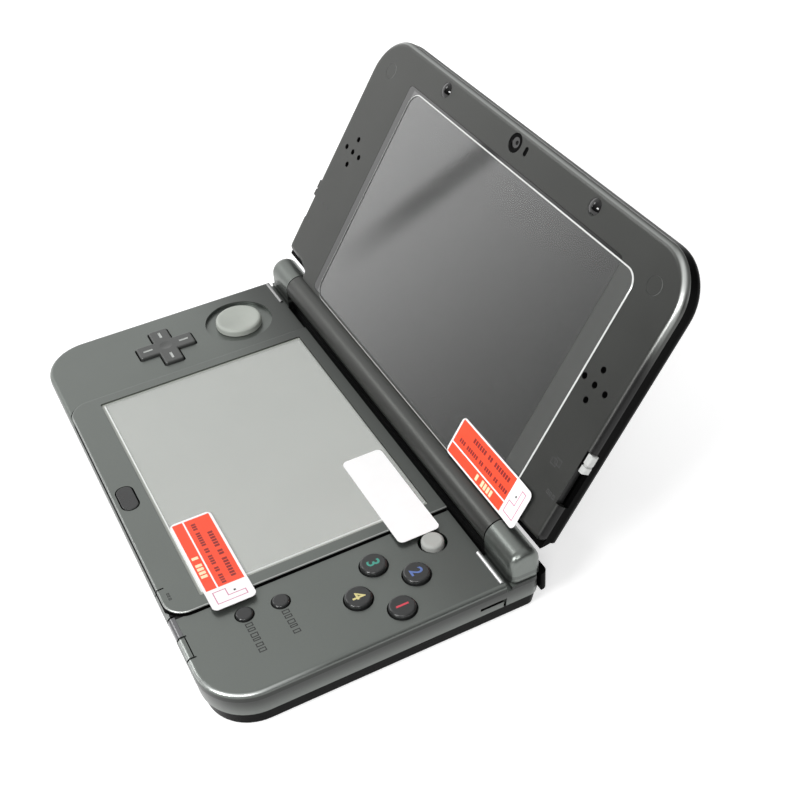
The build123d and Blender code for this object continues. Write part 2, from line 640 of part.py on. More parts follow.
def upper_pull_tab():
    low = LID_FACE + UPPER_FILM
    return tab_strip(35.4, 66.0, 71.2, low, low + 0.05, low + 0.35, 4.6, 16.0)


def inner_camera():
    ring = disc(CAMERA_R, LID_SEAM, LID_FACE - 0.1, 0, CAMERA_Y)
    ring = fillet(ring.faces().sort_by(Axis.Z)[-1].edges(), 0.3)
    ring += disc(1.6, LID_SEAM - 1.5, LID_SEAM, 0, CAMERA_Y)
    bowl = Pos(0, CAMERA_Y, LID_FACE + 2.2) * Sphere(2.9)
    return ring - bowl


def infrared_lamp():
    return slab(LAMP_X, LAMP_Y, 0.6, LID_SEAM - 1, LID_FACE - 0.2, x=LAMP_PLACE[0], y=LAMP_PLACE[1])


def speakers():
    cone = disc(7.0, -4.0, LID_SEAM - FIT, SPEAKER_X, SPEAKER_Y) - disc(5.6, -1.4, 0, SPEAKER_X, SPEAKER_Y)
    return [cone, mirror(cone, about=Plane.YZ)]


def lid_bumpers():
    dome = Pos(0, 0, LID_FACE - 2.6) * Sphere(3.45)
    bumper = dome & disc(BUMPER_R, LID_FACE - 0.8, LID_FACE + 0.85)
    return [Pos(x, BUMPER_Y) * bumper for x in (-BUMPER_X, BUMPER_X)]


def lid_screw_covers():
    cover = disc(2.48, LID_FACE - 0.6, LID_FACE)
    cover = fillet(cover.faces().sort_by(Axis.Z)[-1].edges(), 0.06)
    return [Pos(x, COVER_Y) * cover for x in (-COVER_X, COVER_X)]


def lid_screws():
    screw = disc(SCREW_R, LID_BACK + 1.5, LID_FACE - 0.7)
    return [Pos(x, COVER_Y) * screw for x in (-COVER_X, COVER_X)]


def slider_knob(side, high):
    """Waisted knob at the upper end of its notch, on the right edge for side 1 and the left for -1."""
    low = high - KNOB_LENGTH
    knob = block(78.8, 80.5, low, high, NOTCH_FLOOR + 0.3, LID_FACE - 0.35)
    knob = fillet(knob.faces().sort_by(Axis.X)[-1].edges(), 0.5)
    waist = low + 0.42 * KNOB_LENGTH
    knob -= block(80.1, 81, waist - 0.35, waist + 0.35, -5, 5)
    knob -= block(78, 81, waist - 0.3, waist + 0.3, 0.9, 5)
    knob += block(76.7, 79.0, low, high, NOTCH_FLOOR + 0.3, LID_SEAM - 0.1)
    return knob if side > 0 else mirror(knob, about=Plane.YZ)


def outer_cameras():
    ring = disc(OUTER_CAMERA_R, LID_BACK - 0.2, -3.3) - disc(2.3, LID_BACK - 1, LID_BACK + 0.5)
    lens = Pos(0, 0, LID_BACK + 3.0) * Sphere(2.9) & disc(2.2, LID_BACK, LID_BACK + 1)
    return [Pos(x, OUTER_CAMERA_Y) * (ring + lens) for x in (-OUTER_CAMERA_X, OUTER_CAMERA_X)]


def display_flex_cable():
    roll = rod_x(2.2, -54.5, -44.6, 0, 0) - rod_x(1.7, -55, -44, 0, 0)
    return roll + block(-53, -46, 1.3, UPPER_DISPLAY_LOW, -1.75, -1.45)


def solids_of(shape):
    """Solids of a shape, or of each shape in a list."""
    return [s for piece in (shape if isinstance(shape, list) else [shape]) for s in piece.solids()]


def save(name, shape, place=lambda piece: piece):
    solids = [s for piece in solids_of(shape) for s in solids_of(place(piece))]
    export_step(solids[0] if len(solids) == 1 else Compound(solids), f"parts/{name}.step")


BASE_NODES = {
    "base_top_housing": base_top_housing,
    "base_bottom_housing": base_bottom_housing,
    "back_cover": back_cover,
    "cover_screws": cover_screws,
    "housing_screws": housing_screws,
    "memory_card": memory_card,
    "mainboard": mainboard,
    "battery": battery,
    "card_reader": card_reader,
    "audio_jack": audio_jack,
    "charge_port": charge_port,
    "infrared_window": infrared_window,
    "lower_display": lower_display,
    "touch_glass": touch_glass,
    "lower_film": lower_film,
    "lower_pull_tab": lower_pull_tab,
    "white_card": white_card,
    "slide_pad_tray": slide_pad_tray,
    "slide_pad_carriage": slide_pad_carriage,
    "slide_pad_cap": slide_pad_cap,
    "dpad_mat": dpad_mat,
    "dpad_pivot": dpad_pivot,
    "dpad": dpad,
    "face_button_mat": face_button_mat,
    "menu_button_mat": menu_button_mat,
    "home_button": home_button,
    "pointing_nub": pointing_nub,
    "nub_sensor": nub_sensor,
    "power_button": power_button,
    "status_light_bar": status_light_bar,
    "shoulder_pins": shoulder_pins,
    "stylus": stylus,
    "hinge_clutch": hinge_clutch,
    "hinge_tube": hinge_tube,
}

LID_NODES = {
    "lid_inner_bezel": lid_inner_bezel,
    "lid_outer_shell": lid_outer_shell,
    "upper_display": upper_display,
    "upper_glass": upper_glass,
    "upper_film": upper_film,
    "upper_pull_tab": upper_pull_tab,
    "inner_camera": inner_camera,
    "infrared_lamp": infrared_lamp,
    "speakers": speakers,
    "lid_bumpers": lid_bumpers,
    "lid_screw_covers": lid_screw_covers,
    "lid_screws": lid_screws,
    "outer_cameras": outer_cameras,
    "display_flex_cable": display_flex_cable,
}

for name, make in BASE_NODES.items():
    save(name, make())
for name, make in LID_NODES.items():
    save(name, make(), on_lid)

save("depth_slider_knob", slider_knob(1, KNOB_HIGH), on_lid)
save("volume_slider_knob", slider_knob(-1, VOLUME_HIGH), on_lid)
for number, (x, y) in enumerate(face_button_places(), 1):
    save(f"face_button_{number}", round_button(FACE_R, 4.6, FACE_TOP, x, y))
save("start_button", round_button(MENU_R, 3.2, DECK_Z + 0.7, START_X, START_Y))
save("select_button", round_button(MENU_R, 3.2, DECK_Z + 0.7, SELECT_X, SELECT_Y))
save("shoulder_right", shoulder_button())
save("shoulder_left", mirror(shoulder_button(), about=Plane.YZ))
save("trigger_right", trigger_button())
save("trigger_left", mirror(trigger_button(), about=Plane.YZ))
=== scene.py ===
import json
import math

import bmesh
import bpy
from mathutils import Matrix, Vector


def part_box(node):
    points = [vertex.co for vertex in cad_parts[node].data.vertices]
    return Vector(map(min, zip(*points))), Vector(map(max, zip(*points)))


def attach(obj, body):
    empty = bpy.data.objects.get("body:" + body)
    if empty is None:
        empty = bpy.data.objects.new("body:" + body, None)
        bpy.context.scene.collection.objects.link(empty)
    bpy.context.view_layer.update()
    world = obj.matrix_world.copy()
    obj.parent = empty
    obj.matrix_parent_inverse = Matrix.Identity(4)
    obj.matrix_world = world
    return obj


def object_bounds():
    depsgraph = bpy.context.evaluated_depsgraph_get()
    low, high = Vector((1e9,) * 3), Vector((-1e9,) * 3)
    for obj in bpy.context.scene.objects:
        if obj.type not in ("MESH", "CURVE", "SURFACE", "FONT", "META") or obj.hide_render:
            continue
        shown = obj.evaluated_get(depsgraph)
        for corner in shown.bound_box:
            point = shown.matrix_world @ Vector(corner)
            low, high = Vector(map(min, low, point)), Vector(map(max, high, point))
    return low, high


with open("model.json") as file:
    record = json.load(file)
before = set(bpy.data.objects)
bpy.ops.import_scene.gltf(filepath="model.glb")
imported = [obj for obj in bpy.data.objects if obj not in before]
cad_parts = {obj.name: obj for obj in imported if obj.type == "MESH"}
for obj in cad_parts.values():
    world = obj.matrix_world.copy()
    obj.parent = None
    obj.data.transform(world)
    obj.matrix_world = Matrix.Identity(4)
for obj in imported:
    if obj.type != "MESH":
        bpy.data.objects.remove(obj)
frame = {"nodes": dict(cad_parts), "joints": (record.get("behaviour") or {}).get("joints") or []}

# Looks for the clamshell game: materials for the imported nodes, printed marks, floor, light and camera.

cad_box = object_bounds()
nodes = frame["nodes"]
MM = 0.001

# The lid's own frame: origin on the hinge axis, Y up the lid, Z out of its inner face.
hinge = next(joint for joint in frame["joints"] if joint["name"] == "lid_hinge")
open_angle = math.radians(-hinge["range_deg"][0])
LID = Matrix.Translation(Vector(hinge["pos_m"])) @ Matrix.Rotation(math.pi - open_angle, 4, "X")
BASE = Matrix.Identity(4)


def middle(name, place=BASE):
    """Centre of a node's box, in a place's own coordinates."""
    low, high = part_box(name)
    return place.inverted() @ ((low + high) / 2)


# Heights in the base: the deck, which its buttons stand above, and the raised screen surround
BUTTON_STANDS = 0.7 * MM
STAGE_RISE = 0.9 * MM
deck_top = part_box("start_button")[1].z - BUTTON_STANDS
stage_top = deck_top + STAGE_RISE


# ---------------------------------------------------------------- node materials

# A colour mix node's two colour inputs and its colour output share their names with others
MIX_COLOUR_INPUTS = (6, 7)
MIX_COLOUR_OUTPUT = 2
# Nearly all of a noise texture's values lie in this range
NOISE_RANGE = (0.3, 0.7)


class Graph:
    """A shader node tree and the few sums it is built from."""

    def __init__(self, tree):
        self.nodes = tree.nodes
        self.links = tree.links

    def add(self, kind, settings=None, **inputs):
        """A node with its settings and its inputs, each a number or another node's output."""
        node = self.nodes.new(kind)
        for key, value in (settings or {}).items():
            setattr(node, key, value)
        for key, value in inputs.items():
            self.plug(node.inputs[key], value)
        return node

    def plug(self, socket, value):
        """Sets a socket to a number or a colour, or links another node's output to it."""
        if isinstance(value, bpy.types.NodeSocket):
            self.links.new(value, socket)
        else:
            socket.default_value = value

    def maths(self, operation, *values):
        """One sum, from numbers or other nodes' outputs."""
        node = self.add("ShaderNodeMath", {"operation": operation})
        for socket, value in zip(node.inputs, values):
            self.plug(socket, value)
        return node.outputs["Value"]

    def product(self, first, *others):
        """Masks multiplied together."""
        for other in others:
            first = self.maths("MULTIPLY", first, other)
        return first

    def ramp(self, factor, low, high, start=0.0, end=1.0, soft=False):
        """Takes factor from low to high on to start to end, and holds it at the ends."""
        kind = "SMOOTHSTEP" if soft else "LINEAR"
        node = self.add("ShaderNodeMapRange", {"interpolation_type": kind}, Value=factor)
        for socket, value in (("From Min", low), ("From Max", high), ("To Min", start), ("To Max", end)):
            node.inputs[socket].default_value = value
        return node.outputs["Result"]


class Look(Graph):
    """A procedural material: its node tree, its shader and its object coordinates."""

    def __init__(self, name, colour, roughness, place=BASE, **values):
        self.material = bpy.data.materials.new(name)
        self.material.use_nodes = True
        super().__init__(self.material.node_tree)
        self.shader = self.nodes["Principled BSDF"]
        self.shader.inputs["Base Color"].default_value = (*colour, 1)
        self.shader.inputs["Roughness"].default_value = roughness
        for socket, value in values.items():
            self.shader.inputs[socket.replace("_", " ").title().replace("Ior", "IOR")].default_value = value
        self.colour = colour
        self.roughness = roughness
        self.height = None
        self.place = place
        self.where = self.add("ShaderNodeTexCoord").outputs["Object"]
        if place != BASE:
            back = place.inverted()
            turned = self.add("ShaderNodeMapping", Vector=self.where)
            turned.inputs["Location"].default_value = back.to_translation()
            turned.inputs["Rotation"].default_value = back.to_euler()
            self.where = turned.outputs["Vector"]

    def stretched(self, x, y, z):
        """Object coordinates scaled along each axis, for grain with a direction."""
        node = self.add("ShaderNodeMapping", Vector=self.where)
        node.inputs["Scale"].default_value = (x, y, z)
        return node.outputs["Vector"]

    def noise(self, size, detail=3.0, where=None):
        """Noise whose features are about size metres across."""
        node = self.add("ShaderNodeTexNoise", Vector=where or self.where, Scale=1 / size, Detail=detail)
        return node.outputs["Fac"]

    def mixed(self, factor, *colours):
        """The first colour where factor is 0 and the second where it is 1."""
        node = self.add("ShaderNodeMix", {"data_type": "RGBA"})
        self.plug(node.inputs["Factor"], factor)
        for index, colour in zip(MIX_COLOUR_INPUTS, colours):
            if not isinstance(colour, bpy.types.NodeSocket):
                colour = (*colour, 1)
            self.plug(node.inputs[index], colour)
        return node.outputs[MIX_COLOUR_OUTPUT]

    def paint(self, factor, colour):
        """Lays colour over what is there where factor is 1."""
        socket = self.shader.inputs["Base Color"]
        under = socket.links[0].from_socket if socket.is_linked else self.colour
        self.links.new(self.mixed(factor, under, colour), socket)

    def mottle(self, size, amount):
        """Light and dark variation of the colour, in patches about size metres across."""
        factor = self.ramp(self.noise(size), *NOISE_RANGE)
        dark = tuple(max(0, c * (1 - amount)) for c in self.colour)
        light = tuple(min(1, c * (1 + amount)) for c in self.colour)
        self.links.new(self.mixed(factor, dark, light), self.shader.inputs["Base Color"])

    def smudges(self, size, amount):
        """Patches about size metres across where the surface is a little duller or shinier."""
        dull = self.ramp(self.noise(size, 4), *NOISE_RANGE, self.roughness - amount, self.roughness + amount)
        self.links.new(dull, self.shader.inputs["Roughness"])

    def relief(self, height, depth):
        """A bump from a 0 to 1 height, depth metres deep, over any bump already there."""
        bump = self.add("ShaderNodeBump", Height=height)
        bump.inputs["Distance"].default_value = depth
        if self.height is not None:
            self.links.new(self.height, bump.inputs["Normal"])
        self.height = bump.outputs["Normal"]
        self.links.new(self.height, self.shader.inputs["Normal"])

    def grain(self, size, depth):
        """Fine bumps about size metres across and depth metres deep."""
        self.relief(self.noise(size, 2), depth)

    def axes(self):
        """The place's X, Y and Z, in metres."""
        split = self.add("ShaderNodeSeparateXYZ", Vector=self.where)
        return split.outputs["X"], split.outputs["Y"], split.outputs["Z"]

    def facing(self):
        """The surface normal's parts along the place's axes."""
        normal = self.add("ShaderNodeTexCoord").outputs["Normal"]
        if self.place != BASE:
            turned = self.add("ShaderNodeMapping", {"vector_type": "NORMAL"}, Vector=normal)
            turned.inputs["Rotation"].default_value = self.place.inverted().to_euler()
            normal = turned.outputs["Vector"]
        split = self.add("ShaderNodeSeparateXYZ", Vector=normal)
        return split.outputs["X"], split.outputs["Y"], split.outputs["Z"]

    def between(self, value, low, high):
        """1 where value lies between low and high."""
        return self.maths("COMPARE", value, (low + high) / 2, (high - low) / 2)

    def rectangle(self, x0, x1, y0, y1):
        """1 inside a rectangle of the place's X and Y, in metres."""
        x, y, _ = self.axes()
        return self.product(self.between(x, x0, x1), self.between(y, y0, y1))

    def disc(self, x0, y0, radius):
        """1 inside a circle of the place's X and Y, in metres."""
        x, y, _ = self.axes()
        across, along = self.maths("SUBTRACT", x, x0), self.maths("SUBTRACT", y, y0)
        square = self.maths("ADD", self.product(across, across), self.product(along, along))
        return self.between(square, -1, radius ** 2)


FLAKE_SIZE = 0.12 * MM
FLAKE_BRIGHTNESS = 1.35


def metallic_paint(name, colour, roughness, place=BASE):
    """Pearl grey paint: fine flakes, a light orange peel and a few dull patches."""
    look = Look(name, colour, roughness, place=place, metallic=0.85, coat_weight=0.1, coat_roughness=0.2)
    look.mottle(size=0.03, amount=0.03)
    flakes = look.add("ShaderNodeTexVoronoi", Vector=look.where, Scale=1 / FLAKE_SIZE).outputs["Distance"]
    look.paint(look.ramp(flakes, 0.38, 0.0), tuple(c * FLAKE_BRIGHTNESS for c in colour))
    look.smudges(size=0.018, amount=0.03)
    look.grain(size=0.35 * MM, depth=0.006 * MM)
    return look


def moulded(name, colour, roughness, grain=0.25 * MM, depth=0.008 * MM, **values):
    """Moulded plastic with a fine spark-eroded texture."""
    look = Look(name, colour, roughness, **values)
    look.mottle(size=0.012, amount=0.06)
    look.smudges(size=0.01, amount=0.04)
    look.grain(grain, depth)
    return look


def turned_metal(name, colour, roughness):
    """Bare metal with fine drawn lines."""
    look = Look(name, colour, roughness, metallic=1.0)
    look.mottle(size=0.004, amount=0.12)
    lines = look.noise(0.1 * MM, detail=2, where=look.stretched(0.05, 1, 1))
    look.relief(lines, depth=0.004 * MM)
    look.smudges(size=0.003, amount=0.06)
    return look


TRACK_SPACING = 2.4 * MM
TRACK_GREEN = (0.03, 0.2, 0.07)
VIA_SPACING = 3 * MM
VIA_TIN = (0.55, 0.5, 0.4)


def circuit_board(name):
    """Green solder mask with copper tracks under it and scattered vias."""
    look = Look(name, (0.01, 0.07, 0.03), 0.35, coat_weight=0.4)
    tracks = look.add("ShaderNodeTexBrick", Vector=look.where, Scale=1 / TRACK_SPACING).outputs["Fac"]
    look.paint(look.ramp(tracks, 0.5, 0.6), TRACK_GREEN)
    vias = look.add("ShaderNodeTexVoronoi", Vector=look.where, Scale=1 / VIA_SPACING).outputs["Distance"]
    look.paint(look.ramp(vias, 0.16, 0.1), VIA_TIN)
    look.relief(tracks, depth=0.02 * MM)
    return look


CELL_SIZE = 0.2 * MM
CELL_BRIGHTNESS = 1.15


def glass_panel(name, colour, roughness, grid=0.35, place=BASE, **values):
    """A panel seen through its glass: one colour with a faint grid of cells under a clear coat."""
    look = Look(name, colour, roughness, place=place, coat_weight=1.0, coat_roughness=0.01, **values)
    cells = look.add("ShaderNodeTexChecker", Vector=look.where, Scale=1 / CELL_SIZE).outputs["Fac"]
    look.paint(look.product(cells, grid), tuple(c * CELL_BRIGHTNESS for c in colour))
    look.smudges(size=0.02, amount=0.01)
    return look


# From the flat of a film to its bevel, by how far the surface faces out, and how solid the bevel looks, which
# makes it a painted glint
FILM_BEVEL = (0.97, 0.9)
BEVEL_SOLID = 0.85


def clear_film(name, place, haze):
    """Clear hard film: a thin haze over what it covers, with its bevelled edges drawn nearly solid pale as a
    painted glint.
    """
    look = Look(name, (0.8, 0.82, 0.8), 0.06, place=place, coat_weight=0.3, coat_roughness=0.03)
    look.mottle(size=0.02, amount=0.02)
    flat = look.maths("ABSOLUTE", look.facing()[2])
    look.plug(look.shader.inputs["Alpha"], look.ramp(flat, *FILM_BEVEL, haze, BEVEL_SOLID))
    return look


def paper(name, colour):
    """Matt white card."""
    look = Look(name, colour, 0.62)
    look.mottle(size=0.006, amount=0.015)
    look.grain(size=0.2 * MM, depth=0.01 * MM)
    return look


TAB_RED = (0.95, 0.075, 0.025)
TAB_DARK = (0.26, 0.012, 0.01)
TAB_CREAM = (0.95, 0.78, 0.5)
SHEET_PINK = (0.6, 0.16, 0.3)
DOT_BLACK = (0.02, 0.02, 0.02)
# A block's width and half its height, as shares of the distance from one block to the next
LETTER_WIDTH = 0.72
LETTER_HALF_HEIGHT = 0.62


def lettering(look, end, line, size, words, colour):
    """A row of small blocks grouped in words, where lettering would be, along y = line and up to x = end."""
    x, y, _ = look.axes()
    behind = look.maths("DIVIDE", look.maths("SUBTRACT", end, x), size)
    blocks = look.between(look.maths("FRACT", behind), 0.0, LETTER_WIDTH)
    half_height = LETTER_HALF_HEIGHT * size
    row = look.product(blocks, look.between(y, line - half_height, line + half_height))
    inside = 0.0
    start = 0
    for letters in words:
        inside = look.maths("ADD", inside, look.between(behind, start, start + letters))
        start += letters + 1
    look.paint(look.product(row, inside), colour)


def lifted_sheet(look, x0, x1, y0, y1):
    """A small outline of a sheet with one corner lifted, and a dot beside the corner."""
    line = 0.24 * MM
    fold_x, fold_y = x0 + 2.6 * MM, y0 + 3.4 * MM
    for stroke in ((x0, x1, y0, y0 + line), (x1 - line, x1, y0, y1), (x0, x0 + line, y0, fold_y),
                   (x0, fold_x, fold_y, fold_y + line), (fold_x, fold_x + line, fold_y, y1),
                   (fold_x, x1, y1 - line, y1)):
        look.paint(look.rectangle(*stroke), SHEET_PINK)
    look.paint(look.rectangle(x0 + 1.4 * MM, x0 + 2.0 * MM, fold_y + 1.9 * MM, fold_y + 2.5 * MM), DOT_BLACK)


def printed_tab(name, place, left, right, low, high):
    """Pull tab: white film with a red field in two strips, and rows of blocks where lettering would be."""
    border, gap, narrow, blank_end, margin = 0.7 * MM, 0.45 * MM, 2.9 * MM, 7.6 * MM, 1.8 * MM
    field_start, field_end = left + border, right - blank_end
    narrow_low = low + border
    narrow_high = narrow_low + narrow
    wide_low, wide_high = narrow_high + gap, high - border
    wide = wide_high - wide_low
    look = Look(name, (0.96, 0.94, 0.95), 0.4, place=place, coat_weight=0.1, coat_roughness=0.15)
    look.mottle(size=0.004, amount=0.01)
    look.paint(look.rectangle(field_start, field_end, narrow_low, narrow_high), TAB_RED)
    look.paint(look.rectangle(field_start, field_end, wide_low, wide_high), TAB_RED)
    # Each row's distance from the field's end, line, block spacing, letters in each word and colour
    for back, line, size, words, colour in (
            (0.8, wide_low + 0.27 * wide, 0.95, (4, 2, 4, 2, 6, 3), TAB_DARK),
            (2.0, wide_low + 0.7 * wide, 1.1, (7, 2, 6), TAB_DARK),
            (5.0, (narrow_low + narrow_high) / 2, 1.45, (4, 1), TAB_CREAM)):
        lettering(look, field_end - back * MM, line, size * MM, words, colour)
    lifted_sheet(look, field_end + 1.2 * MM, right - margin, low + margin, high - margin)
    return look


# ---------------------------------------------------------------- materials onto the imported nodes

deck = metallic_paint("deck_grey_paint", (0.172, 0.186, 0.174), 0.34)
lid_grey = metallic_paint("lid_grey_paint", (0.079, 0.081, 0.077), 0.38, LID)
black = moulded("shell_black_satin", (0.0025, 0.0025, 0.0025), 0.3, 0.5 * MM, 0.002 * MM,
                specular_ior_level=0.02)
cover = moulded("cover_grey", (0.035, 0.036, 0.037), 0.42)
control = moulded("control_black", (0.022, 0.023, 0.023), 0.3, 0.3 * MM, 0.003 * MM, coat_weight=0.25)
cross = moulded("cross_pad_grey", (0.06, 0.063, 0.06), 0.32, 0.3 * MM, 0.003 * MM, coat_weight=0.3)
pad = moulded("pad_light_grey", (0.43, 0.455, 0.415), 0.5, 0.2 * MM, 0.015 * MM)
nub = moulded("nub_light_rubber", (0.42, 0.43, 0.41), 0.6, 0.25 * MM, 0.03 * MM)
knob = moulded("knob_light", (0.5, 0.51, 0.5), 0.45)
rubber = moulded("rubber_dark", (0.02, 0.02, 0.02), 0.35)
bumper = moulded("bumper_rubber", (0.004, 0.004, 0.004), 0.14, coat_weight=0.6, specular_ior_level=0.2)
inner = moulded("inner_plastic", (0.03, 0.03, 0.031), 0.5)
lamp = moulded("lamp_smoke", (0.1, 0.1, 0.105), 0.2, coat_weight=0.6)
steel = turned_metal("drawn_steel", (0.5, 0.5, 0.51), 0.3)
board = circuit_board("circuit_board")
ribbon = turned_metal("copper_ribbon", (0.55, 0.27, 0.1), 0.35)
wrap = moulded("battery_wrap", (0.05, 0.05, 0.055), 0.35)
upper_dark = glass_panel("upper_panel", (0.012, 0.012, 0.012), 0.08, place=LID, coat_ior=1.9)
lower_dark = glass_panel("lower_panel", (0.02, 0.021, 0.021), 0.2)
lens = glass_panel("camera_lens", (0.004, 0.004, 0.007), 0.05)
ring = moulded("camera_ring", (0.002, 0.002, 0.002), 0.25, specular_ior_level=0.04, place=LID)
touch = glass_panel("touch_screen", (0.362, 0.38, 0.34), 0.3, 0.1)
film_low = clear_film("lower_hard_film", BASE, 0.25)
film_up = clear_film("upper_hard_film", LID, 0.03)
white = paper("white_card", (0.97, 0.97, 0.97))


# ---------------------------------------------------------------- painted details

# Inner camera: rings, from the outside in: a grey painted reflection of the lens glass, then a dark pupil
LENS_RINGS = ((1.5 * MM, (0.09, 0.09, 0.09)), (0.6 * MM, (0.01, 0.01, 0.01)))

# Cross pad: each pale line along a groove runs from near to far of the pad's centre
GROOVE_MARK_NEAR, GROOVE_MARK_FAR, GROOVE_MARK_HALF_WIDTH = 4.5 * MM, 7.5 * MM, 0.4 * MM
GROOVE_MARK_PALE = (0.5, 0.52, 0.5)

# Recesses given painted shade in near black, each with its X, Y and Z ranges in the base
RECESS_SHADE = (0.012, 0.012, 0.012)
CHANNEL = ((-65.8 * MM, 65.8 * MM), (34.25 * MM, 60 * MM), (0, deck_top - 0.6 * MM))
STEP_FOOT = ((-40 * MM, 48.7 * MM), (-45.4 * MM, 34.1 * MM), (deck_top - 0.5 * MM, deck_top - 0.02 * MM))
STEP_SIDE = ((-40 * MM, 48.1 * MM), (-45 * MM, 34.1 * MM), (deck_top - 0.1 * MM, deck_top + 0.5 * MM))
LEFT_SLOT = ((-79.56 * MM, -78.3 * MM), (26.4 * MM, 34.3 * MM), (7.4 * MM, 8.6 * MM))
RIGHT_SLOT = ((78.3 * MM, 79.56 * MM), (26.4 * MM, 34.3 * MM), (7.4 * MM, 8.6 * MM))

# Ramps over one part of the surface's normal: the mask is 0 at the first value and 1 at the second
OFF_LEVEL, WELL_OFF_LEVEL = (0.97, 0.9), (0.97, 0.85)
OFF_UPRIGHT, WELL_OFF_UPRIGHT, FAR_OFF_UPRIGHT = (0.2, 0.4), (0.35, 0.6), (0.45, 0.65)
NEAR_UPRIGHT = (0.7, 0.4)
NOT_WEST, EAST, NORTH = (-0.1, 0.2), (0.15, 0.4), (0.25, 0.5)

# Casing's painted light and shade: bands of height, and where each shade begins and ends along X and Y, with
# its strengths there
SIDE_SHADE = (0.035, 0.037, 0.035)
SIDE_RISE, SIDE_TOP = (3.0 * MM, 11.3 * MM), (deck_top - 0.6 * MM, deck_top - 1.4 * MM)
SURROUND_HIGHLIGHT = (0.6, 0.62, 0.6)
SURROUND_BAND = (stage_top - 0.5 * MM, stage_top + 0.1 * MM)
MIRRORED_LID = (0.05, 0.052, 0.05)
MIRROR_DEPTH = (4 * MM, 34 * MM, 0, 0.6)
MIRROR_ACROSS = (-80 * MM, 80 * MM, 1.3, 0.6)
MIRROR_BAND = (deck_top - 0.01 * MM, deck_top + 1.1 * MM)
RIM_HIGHLIGHT = (0.62, 0.65, 0.63)
RIM_BAND = (deck_top + 0.3 * MM, deck_top + 0.1 * MM)
CORNER_ACROSS, CORNER_DEPTH = (25 * MM, 62 * MM), (-12 * MM, -36 * MM)
BEAD_HIGHLIGHTS = ((-78.6 * MM, -66.2 * MM, 0.36), (66.2 * MM, 78.6 * MM, 0.8))
BEAD_DEPTH = (32.7 * MM, 34.3 * MM)
BEAD_BAND = (deck_top + 0.02 * MM, deck_top + 1.0 * MM)

# Lid's painted sheen, shade and glint: stretches along its Y
LID_EDGE_SHEEN = (0.28, 0.29, 0.28)
LID_EDGE_BAND = (60 * MM, 100 * MM)
LID_RIM_SHADE = (0.02, 0.02, 0.02)
LID_RIM_RISE = (72 * MM, 55 * MM)
LID_GLINT = (0.6, 0.62, 0.6)
LID_GLINT_RISE = (60 * MM, 82 * MM)
COAT_BARE, COAT_UNDER_FILM = 0.45, 1.0


def ring_camera():
    """A grey ring, a painted reflection in the lens glass, round a dark pupil in the inner camera."""
    eye = middle("inner_camera", LID)
    for radius, colour in LENS_RINGS:
        ring.paint(ring.disc(eye.x, eye.y, radius), colour)


def inlay_cross():
    """Pale lines along the cross pad's four grooves."""
    hub = middle("dpad")
    for side in (-1, 1):
        near, far = sorted((side * GROOVE_MARK_NEAR, side * GROOVE_MARK_FAR))
        for box in ((hub.x + near, hub.x + far, hub.y - GROOVE_MARK_HALF_WIDTH, hub.y + GROOVE_MARK_HALF_WIDTH),
                    (hub.x - GROOVE_MARK_HALF_WIDTH, hub.x + GROOVE_MARK_HALF_WIDTH, hub.y + near, hub.y + far)):
            cross.paint(cross.rectangle(*box), GROOVE_MARK_PALE)


def darken_recesses():
    """Painted shade in near black: the channel behind the deck, the step round the lower screen and a slot in
    each side.
    """
    axes = deck.axes()
    for recess in (CHANNEL, STEP_FOOT, STEP_SIDE, LEFT_SLOT, RIGHT_SLOT):
        inside = deck.product(*(deck.between(axis, *span) for axis, span in zip(axes, recess)))
        deck.paint(inside, RECESS_SHADE)


def shade_side():
    """Painted shade: the casing's side darkens from its foot toward its rim."""
    _, _, level = deck.axes()
    _, _, up = deck.facing()
    deck.paint(deck.product(deck.ramp(level, *SIDE_RISE, soft=True), deck.ramp(level, *SIDE_TOP, soft=True),
                            deck.ramp(up, *NEAR_UPRIGHT)), SIDE_SHADE)


def light_surround():
    """Painted highlight: the rounded edge of the lower screen's raised surround is pale, but for its left
    side.
    """
    _, _, level = deck.axes()
    east, _, up = deck.facing()
    deck.paint(deck.product(deck.ramp(up, *OFF_LEVEL), deck.ramp(up, *OFF_UPRIGHT),
                            deck.between(level, *SURROUND_BAND), deck.ramp(east, *NOT_WEST)), SURROUND_HIGHLIGHT)


def shade_deck():
    """Painted shade and reflection: the deck darkens toward the hinge, where the lid shades it and is
    mirrored in it, and more so at the left.
    """
    x, y, level = deck.axes()
    deck.paint(deck.product(deck.ramp(y, *MIRROR_DEPTH, soft=True), deck.ramp(x, *MIRROR_ACROSS),
                            deck.between(level, *MIRROR_BAND)), MIRRORED_LID)


def light_front_corner():
    """Painted highlight: the rim is pale round the front right corner."""
    x, y, level = deck.axes()
    _, _, up = deck.facing()
    deck.paint(deck.product(deck.ramp(up, *WELL_OFF_LEVEL), deck.ramp(up, *FAR_OFF_UPRIGHT),
                            deck.ramp(level, *RIM_BAND), deck.ramp(x, *CORNER_ACROSS, soft=True),
                            deck.ramp(y, *CORNER_DEPTH, soft=True)), RIM_HIGHLIGHT)


def light_beads():
    """Painted highlights: the two beads in front of the knuckles are pale."""
    x, y, level = deck.axes()
    for left, right, grey in BEAD_HIGHLIGHTS:
        deck.paint(deck.product(deck.between(x, left, right), deck.between(y, *BEAD_DEPTH),
                                deck.between(level, *BEAD_BAND)), (grey, grey, grey))


